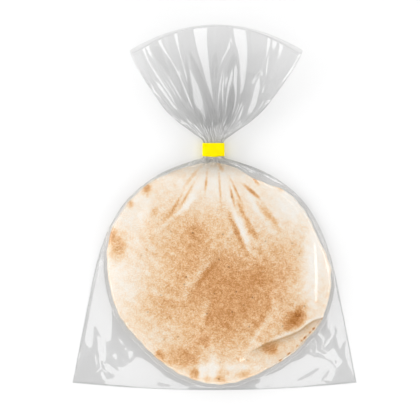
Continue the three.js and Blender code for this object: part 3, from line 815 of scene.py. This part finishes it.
def roofSlope(x, y, ownX, ownY, degrees, soft, ridge):
    # how far a point is inside the fold's half width, from 0 to 1, and the slope there: up to the ridge's
    # nearest line across it, and the film's own slope along it
    nearest, inside, slopeX, slopeY = np.full(x.shape, 1e9), *np.zeros((3,) + x.shape)
    for (x0, y0, half0), (x1, y1, half1) in zip(ridge, ridge[1:]):
        long = math.hypot(x1 - x0, y1 - y0)
        dx, dy = (x1 - x0) / long, (y1 - y0) / long
        t = np.clip(((x - x0) * dx + (y - y0) * dy) / long, 0, 1)
        far = np.hypot(x - mix(x0, x1, t), y - mix(y0, y1, t))
        side = np.tanh(((y - y0) * dx - (x - x0) * dy) / soft)
        own = ownX * dx + ownY * dy
        steep = np.sqrt(np.maximum(math.tan(math.radians(degrees)) ** 2 - own ** 2, 0)) * side
        closer = far < nearest
        nearest = np.where(closer, far, nearest)
        inside = np.where(closer, (1 + np.tanh((mix(half0, half1, t) - far) / soft)) / 2, inside)
        slopeX = np.where(closer, own * dx + steep * dy, slopeX)
        slopeY = np.where(closer, own * dy - steep * dx, slopeY)
    return inside, slopeX, slopeY


def facetHeight(x, y, base, held):
    # on a facet the wanted slope is as steep as asked, in its own direction, and on a fold towards its ridge
    cover, wantX, wantY = np.zeros((3,) + x.shape)
    for direction, degrees, soft, outline in facets:
        inside = insideOutline(x, y, outline, soft)
        steep, turn = math.tan(math.radians(degrees)), math.radians(direction)
        wantX = mix(wantX, steep * math.cos(turn), inside)
        wantY = mix(wantY, steep * math.sin(turn), inside)
        cover = np.maximum(cover, inside)
    # the film's own slope, over 1 mm
    ownX = drapeHeight(x + 0.5, y) - drapeHeight(x - 0.5, y)
    ownY = drapeHeight(x, y + 0.5) - drapeHeight(x, y - 0.5)
    for degrees, soft, ridge in roofs:
        inside, slopeX, slopeY = roofSlope(x, y, ownX, ownY, degrees, soft, ridge)
        wantX, wantY = mix(wantX, slopeX, inside), mix(wantY, slopeY, inside)
        cover = np.maximum(cover, inside)
    free = bell(beyondRim(x, y) - film["freeAt"], film["freeWidth"])
    grip = film["grip"] * (1 - film["freeShare"] * free)
    anchor = film["grip"] / film["reach"] ** 2
    return settle(x, y, base, wantX, wantY, cover * (1 - free), held, grip, anchor)


def beyondRim(x, y):
    # mm outside the bread's rim, below 0 inside it
    share, _, radius = breadPolar(x, y)
    return (share - 1) * radius


def drapeHeight(x, y):
    # inside the bread's rim the height of its rim and a gap, its dome, air (1 - share^2)^2 and some of its
    # swells; beside it the slack; and a steep step between the two
    share, _, radius = breadPolar(x, y)
    inner = np.clip(share, 0, 1)
    over = bread["equator"] + bread["rim"] + film["gap"]
    over = over + bread["dome"] * (1 - inner ** 2) ** 1.3 + film["air"] * (1 - inner ** 2) ** 2
    over = over + film["follow"] * swellHeight(x, y) * (1 - inner ** bread["rimFade"])
    return mix(over, film["slack"], ease((share - 1) * radius, *film["step"]))


def bodyFront(x, y, across, below, edgeZ, fine, sideFade):
    # the drape over the bread with sags, crumples and fine gathers, brought down to the bag's sides and
    # bottom seam: seam height + (height - seam height) closeness
    closeness = ease(film["cornerDrop"] - below, 0, film["seam"])  # 0 at the bottom seam
    sags = ripples(x, y, film["sags"]) + ease(below, *film["lowSagsFrom"]) * ripples(x, y, film["lowSags"])
    crumple = ripples(x, y, film["crumple"]) * ease(below, *film["crumpleFrom"])
    fine = fine * (1 - ease(below, *film["fineTo"]))
    raised = drapeHeight(x, y) + (sags + crumple + fine) * sideFade
    blunt = mix(0.5, 1.3, ease(below, *film["flatSides"]))  # the side is steep beside the bread, flat below
    raised = edgeZ + (raised - edgeZ) * (1 - np.abs(across) ** 44) ** blunt
    seamZ = film["lie"] + film["seamLift"]
    return seamZ + (raised - seamZ) * closeness


# how many layers of film lie on each other, which its material shows: as many as it is drawn together, more
# where it is bound, at its seams, where it hangs loose, and where it is folded; close round the bread's lower
# half extra layers are a painted shadow of the bread on the table
piled = {
    "most": 3.7, "drawnTo": (6, 26),          # times it is drawn together, which ends between these mm below
    "bound": 1.5, "boundTo": (1, 9),          # just outside the band
    "mouth": 0.9, "mouthTo": (0.3, 0.9),      # its cut edge at the mouth, and where the back shows past it
    "hem": 3.0, "sideTo": (0.5, 1.4), "seamTo": (0.6, 1.6),
    "gusset": 3.0, "gussetFrom": (0.8, 1.6), "gussetTo": (3.6, 5.0), "gussetBelow": (35, 95),
    "slack": 0.85, "slackFrom": (-1, 3),      # beside the bread, where the loose film reads greyer, partly as painted shade
    "rim": 1.5, "shadowWidth": 9, "shadowBelow": (60, 110),  # painted shadow of the bread, close round its lower half
}


def sheetLayers(half, below, above):
    # 1 + how much narrower it is than the open bag + bound beside the band + the mouth's edge
    drawn = np.minimum(film["body"][-1][1] / half, piled["most"]) - 1
    drawn = drawn * np.where(above > 0, 1, 1 - ease(below, *piled["drawnTo"]))
    bound = piled["bound"] * (1 - ease(above + below, *piled["boundTo"]))
    return 1 + drawn + bound + piled["mouth"] * (1 - ease(film["mouthRise"] - above, *piled["mouthTo"]))


def frontLayersAndShadow(x, y, across, rise, half, below):
    # what tucks add in the fan; gussets, slack, creases and a painted shadow round the bread's lower half in
    # the body; and the seams' hems all round
    tucked = sum(layers * strip(stations, across, rise, half, tuckSoft)[0] for layers, stations in tucks)
    inset = half * (1 - np.abs(across))  # mm from the bag's side
    gusset = ease(inset, *piled["gussetFrom"]) * (1 - ease(inset, *piled["gussetTo"]))
    folded = piled["gusset"] * gusset * (1 - ease(below, *piled["gussetBelow"]))
    beyond = beyondRim(x, y)
    folded = folded + piled["slack"] * ease(beyond, *piled["slackFrom"])
    # painted shadow of the bread on the table, put in as extra layers close round its lower half
    paintedShadow = bell(beyond, piled["shadowWidth"]) * ease(below, *piled["shadowBelow"]) * (beyond > 0)
    folded = folded + piled["rim"] * paintedShadow
    for more, soft, ridge in creases:
        folded = folded + more * roofSlope(x, y, 0, 0, 0, soft, ridge)[0]
    atSide = 1 - ease(inset, *piled["sideTo"])
    atSeam = 1 - ease(film["cornerDrop"] - below, *piled["seamTo"])
    return np.where(rise > 0, tucked, folded) + piled["hem"] * (atSide + atSeam)


def filmPoints(side):
    # every row is a line of points across the bag, over its front or over its back, from its bottom seam up
    # through the band to its mouth; its layers come with it
    below, above, inside = filmRows()
    across = np.linspace(-1, 1, film["columns"][side] + 1)[None, :]
    rise = above / film["mouthRise"]
    isFan = above > 0
    half = np.where(isFan, along(film["fan"], above), along(film["body"], below))
    bow = film["bottomBow"] * ease(below, film["bowFrom"], film["cornerDrop"])
    bow = bow + film["mouthBow"] * rise ** 1.5
    lifted = 1 - ease(below, 0, film["landsAt"])  # 1 at the neck, 0 where the back lies flat
    spread = 0.85 * rise + 0.15 * ease(rise, 0, 1)
    x = neckX * lifted + film["fanLean"] * spread + half * across
    y = bandBottom - below + (bandTop - bandBottom) * inside + above + bow * (1 - across ** 2)
    across = np.broadcast_to(across, x.shape)
    rounded = np.sqrt(1 - across ** 4)
    fanRounded = mix(rounded, 1 - across ** 2, ease(rise, 0, film["opensAt"]))
    edgeZ = along(film["edge"], below)
    middle = mix(neckZ, mix(film["fanZ"], film["fanEdgeZ"], across ** 2), spread)
    depth = mix(film["neckDepth"], film["fanDepth"], spread)
    layers = np.broadcast_to(sheetLayers(half, below, above), x.shape)
    shownBack = film["mouthStep"] * (0.3 + 0.7 * across ** 2)  # how far the back reaches past the front

    if side == "back":
        fine = fineGathers(across, half, 42)
        lying = film["lie"] + (edgeZ - film["lie"]) * np.abs(across) ** 60
        bound = neckZ - (film["neckDepth"] - fine) * rounded
        fan = middle - (depth + pleatHeight(across, rise, half) - fine) * fanRounded
        z = np.maximum(np.where(isFan, fan, mix(lying, bound, lifted)), film["lie"])
        layers = layers + piled["mouth"] * (1 - ease(film["mouthRise"] - above, shownBack, shownBack + 1))
        return np.stack([x, y, z], -1), layers

    sideFade = 1 - across ** 36  # 0 at the sides, where it meets the back
    fine = fineGathers(across, half, 41)
    bound = neckZ + (film["neckDepth"] + fine) * rounded
    first = film["bodyRows"] + film["neckRows"]  # the last row inside the band
    fan = middle + depth * fanRounded + fine * (1 - ease(rise, *film["fineFade"]))
    fan = mix(bound, fan, ease(rise, 0, film["flares"]))[first:]
    fan = flankHeight(x[first:], y[first:], across[first:], rise[first:], half[first:], fan)
    body = bodyFront(x, y, across, below, edgeZ, fine, sideFade)
    body = mix(body, bound, 1 - ease(below, 0, film["gathered"]))[:first]
    held = (np.abs(across) == 1) | (below == film["cornerDrop"]) | (below < film["held"])
    z = np.concatenate([facetHeight(x[:first], y[:first], body, held[:first]), fan])
    z = np.where(beyondRim(x, y) < 0, np.maximum(z, breadTop(x, y) + film["clear"]), z)
    layers = layers + frontLayersAndShadow(x, y, across, rise, half, below)
    y = y - shownBack * sideFade * ease(rise, film["mouthFrom"], 1)
    return np.stack([x, y, z], -1), layers


def makeFilm(material):
    # the front of the bag and its back are a grid each, which meet along its sides and bottom seam; inside
    # the band each grid is cut in two, for the body and the fan
    cut = film["bodyRows"] + film["neckRows"] // 2
    for side in ("front", "back"):
        points, layers = filmPoints(side)
        for part, rows in (("body", slice(0, cut + 1)), ("fan", slice(cut, None))):
            count = layers[rows].size
            faces = gridFaces(np.arange(count).reshape(layers[rows].shape))
            faces = faces if side == "front" else faces[:, ::-1]
            piece = addPiece("bag_" + side + "_" + part, points[rows].reshape(-1, 3), [faces], material)
            # the front's layers also carry a painted shadow round the bread's lower half and painted shade
            # beside it
            addPointValues(piece, "layers", layers[rows].ravel())
            wall = piece.modifiers.new("wall", "SOLIDIFY")
            wall.thickness = film["wall"] * mm
            wall.offset = -1
            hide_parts("bag")


clearFilm = {
    "mirror": 0.043,     # how much of the light a single film mirrors, seen straight on
    "foldMirror": 0.008, "mostFolds": 4.0,  # more for each fold, up to this many
    "rimMirror": 0.7,    # and more again where it is seen edge on
    "passes": 0.968,     # how much of the light each layer lets through
    "free": 1.35, "mostLayers": 7.0, "pile": 0.75,  # from how many layers on, up to how many, and their power
    "roughness": 0.06,
}


def filmMaterial():
    # cast polypropylene film: clear and glossy, so that the eye gets sharp white streaks on its folds and a
    # grey that deepens where it is folded over itself, and where extra layers carry a painted shadow beside
    # the bread
    material, tree = newMaterial("castPolypropyleneFilm")
    layers = addNode(tree, "Attribute", {}, attribute_name="layers")
    weight = addNode(tree, "LayerWeight", {"Blend": 0.5})
    slant = addNode(tree, "Math", {0: (weight, "Facing"), 1: 5.0}, operation="POWER")
    folds = addNode(tree, "Math", {0: (layers, "Fac"), 1: 1.0}, operation="SUBTRACT")
    folds = addNode(tree, "Clamp", {"Value": (folds, 0), "Min": 0.0, "Max": clearFilm["mostFolds"]})
    facing = addNode(tree, "Math", {0: (folds, 0), 1: clearFilm["foldMirror"], 2: clearFilm["mirror"]},
                     operation="MULTIPLY_ADD")
    mirror = addNode(tree, "Math", {0: (slant, 0), 1: clearFilm["rimMirror"], 2: (facing, 0)},
                     operation="MULTIPLY_ADD")
    extra = addNode(tree, "Math", {0: (layers, "Fac"), 1: clearFilm["free"]}, operation="SUBTRACT")
    extra = addNode(tree, "Clamp", {"Value": (extra, 0), "Min": 0.0, "Max": clearFilm["mostLayers"]})
    folded = addNode(tree, "Math", {0: (extra, 0), 1: clearFilm["pile"]}, operation="POWER")
    passed = addNode(tree, "Math", {0: clearFilm["passes"], 1: (folded, 0)}, operation="POWER")
    through = addNode(tree, "BsdfTransparent", {"Color": (passed, 0)})
    gloss = addNode(tree, "BsdfAnisotropic", {"Color": (0.95, 0.95, 0.95, 1),
                                              "Roughness": clearFilm["roughness"]})
    shader = addNode(tree, "MixShader", {0: (mirror, 0), 1: (through, 0), 2: (gloss, 0)})
    addNode(tree, "OutputMaterial", {"Surface": (shader, 0)})
    return material


print("making the film bag")
makeFilm(filmMaterial())


# Tape: a strip of yellow tape wound round the neck, with a lap at the back

tape = {
    "wall": 0.22, "gap": 0.1, "windings": 1.22,
    "dip": 0.9, "sway": 0.18,  # how far its lower edge dips in the middle and wavers
    "squareness": 0.34,        # 1 would be an ellipse
    "steps": 260, "rows": 14,
    "weave": 6, "weaveHigh": 0.6,  # size and height of its faint unevenness
    "tints": [(0.35, "#f8e200"), (0.65, "#ffea00")],
}


def makeTape(material):
    # a strip carried round a superellipse |x / a|^p + |z / b|^p = 1 for more than one turn, which moves out
    # by a little over its own thickness at each turn
    turn = np.linspace(0, tape["windings"], tape["steps"] + 1) - (tape["windings"] - 1) / 2
    theta = 2 * math.pi * turn - math.pi / 2  # both ends lie at the back
    out = (tape["wall"] + tape["gap"]) * (turn - turn[-1])
    halfWide = (tapeHigh[0] - tapeLow[0]) / 2 + out
    halfDeep = (tapeHigh[2] - tapeLow[2]) / 2 + out
    c, s = np.cos(theta), np.sin(theta)
    x = halfWide * np.sign(c) * np.abs(c) ** tape["squareness"]
    z = halfDeep * np.sign(s) * np.abs(s) ** tape["squareness"]
    heading = np.gradient(np.stack([x, z], -1), axis=0)
    heading /= np.linalg.norm(heading, axis=1)[:, None]
    # the section of the strip: up its outer side and down its inner one
    up = np.linspace(0, 1, tape["rows"] + 1)
    ringUp = np.concatenate([up, up[::-1]])[:, None]
    ringIn = np.concatenate([np.zeros(len(up)), np.full(len(up), tape["wall"])])[:, None]
    low = bandBottom - tape["dip"] * (1 - np.abs(x) / halfWide)
    sway = tape["sway"] * np.sin(5.1 * theta + 1) * (1 - ringUp)
    px = neckX + x - ringIn * heading[:, 1]
    pz = neckZ + z + ringIn * heading[:, 0]
    py = low + (bandTop - low) * ringUp + sway
    index = np.arange(px.size).reshape(px.shape)
    index = np.concatenate([index, index[:1]])
    ends = [index[:-1, 0][None, ::-1], index[:-1, -1][None, :]]
    points = np.stack([px, py, pz], -1).reshape(-1, 3)
    piece = addPiece("tape_band", points, [gridFaces(index), *ends], material)
    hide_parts("neck_tape")


def tapeMaterial():
    # yellow PVC tape: a smooth printed film that the eye reads as flat bright yellow with a satin gloss
    material, tree = newMaterial("yellowPvcTape")
    place = addNode(tree, "TexCoord", {})
    wave = addNode(tree, "TexNoise", {"Vector": (place, "Object"), "Scale": 1 / (tape["weave"] * mm),
                                      "Detail": 2.0})
    tint = addNode(tree, "ValToRGB", {"Fac": (wave, 0)})
    fillRamp(tint, tape["tints"])
    bump = addNode(tree, "Bump", {"Height": (wave, 0), "Strength": 0.25, "Distance": tape["weaveHigh"] * mm})
    shader = addNode(tree, "BsdfPrincipled", {"Base Color": (tint, 0), "Roughness": 0.5,
                                              "Normal": (bump, 0), "IOR": 1.53,
                                              "Specular IOR Level": 0.04})
    addNode(tree, "OutputMaterial", {"Surface": (shader, 0)})
    return material


print("making the tape")
makeTape(tapeMaterial())


# Studio: a pale floor, soft boxes and the camera

studio = {
    "floorHalf": 4000,    # mm
    "floorColour": "#f8f8f8",
    "distance": 2.0,      # of the soft boxes, in metres
    "gain": 0.81,         # over all lights, so that the bare floor is just white
    "world": 0.11,
    "x": -4.0, "y": -2.0, "wide": 371.7,  # mm, what the camera looks at and how much it takes in
    "lens": 200, "sensor": 36,
}
# soft boxes round the camera's line of sight, and low ones that draw out the soft shadows: direction (0 is
# +X, 90 is +Y), nearest and farthest degrees from straight up, width in degrees, brightness
softBoxes = [
    ("left", 180, 24, 38, 84, 2.75), ("right", 0, 24, 38, 80, 2.8),
    ("head", 90, 24, 38, 76, 2.3), ("foot", -90, 26, 40, 76, 2.7),
    ("ringLeft", 180, 15, 50, 88, 0.4), ("ringRight", 0, 15, 50, 88, 0.35),
    ("ringHead", 90, 15, 50, 88, 0.35), ("ringFoot", -90, 20, 50, 88, 0.3),
    ("lowLeft", 165, 62, 84, 70, 5.9), ("lowRight", 0, 62, 84, 70, 3.8),
    ("lowHead", 90, 62, 84, 70, 4.0), ("lowFoot", -90, 62, 84, 80, 4.6),
]


def makeFloor():
    side = studio["floorHalf"]
    points = np.array([[-side, -side, 0], [side, -side, 0], [side, side, 0], [-side, side, 0]], float)
    material, tree = newMaterial("paleFloor")
    shader = addNode(tree, "BsdfPrincipled", {"Base Color": hexColour(studio["floorColour"]),
                                              "Roughness": 0.9, "Specular IOR Level": 0.1})
    addNode(tree, "OutputMaterial", {"Surface": (shader, 0)})
    piece = addPiece("floor", points, [np.array([[0, 1, 2, 3]])], material)
    piece.parent = None


def makeLights():
    # a box's sides are twice the tangent of half the angles it takes up, at its distance
    distance = studio["distance"]
    for name, direction, near, far, wide, bright in softBoxes:
        lean = math.radians((near + far) / 2)
        turn = math.radians(direction)
        lamp = bpy.data.lights.new(name, "AREA")
        lamp.shape = "RECTANGLE"
        lamp.size = 2 * distance * math.tan(math.radians(wide / 2)) * math.sin(lean)
        lamp.size_y = 2 * distance * math.tan(math.radians((far - near) / 2))
        lamp.energy = studio["gain"] * bright * math.pi * lamp.size * lamp.size_y
        item = bpy.data.objects.new(name, lamp)
        item.location = (distance * math.sin(lean) * math.cos(turn),
                         distance * math.sin(lean) * math.sin(turn), distance * math.cos(lean))
        item.rotation_euler = (lean, 0, turn + math.pi / 2)
        item.visible_camera = False
        item.visible_glossy = not name.startswith("low")    # these only draw out the shadows
        item.visible_diffuse = not name.startswith("ring")  # and these only show in the film
        bpy.context.scene.collection.objects.link(item)
    world = bpy.data.worlds.new("studio")
    world.use_nodes = True
    grey = studio["world"]
    world.node_tree.nodes["Background"].inputs["Color"].default_value = (grey, grey, grey, 1)
    bpy.context.scene.world = world


def makeCamera():
    # straight above, as the photo looks: the picture is as wide as the camera takes in at the table
    view = bpy.data.cameras.new("camera")
    view.lens = studio["lens"]
    view.sensor_width = studio["sensor"]
    item = bpy.data.objects.new("camera", view)
    height = studio["wide"] * view.lens / view.sensor_width
    item.location = (studio["x"] * mm, studio["y"] * mm, height * mm)
    bpy.context.scene.collection.objects.link(item)
    bpy.context.scene.camera = item


print("making the studio")
makeFloor()
makeLights()
makeCamera()
scene = bpy.context.scene
scene.view_settings.view_transform = "Standard"
scene.cycles.transparent_max_bounces = 48
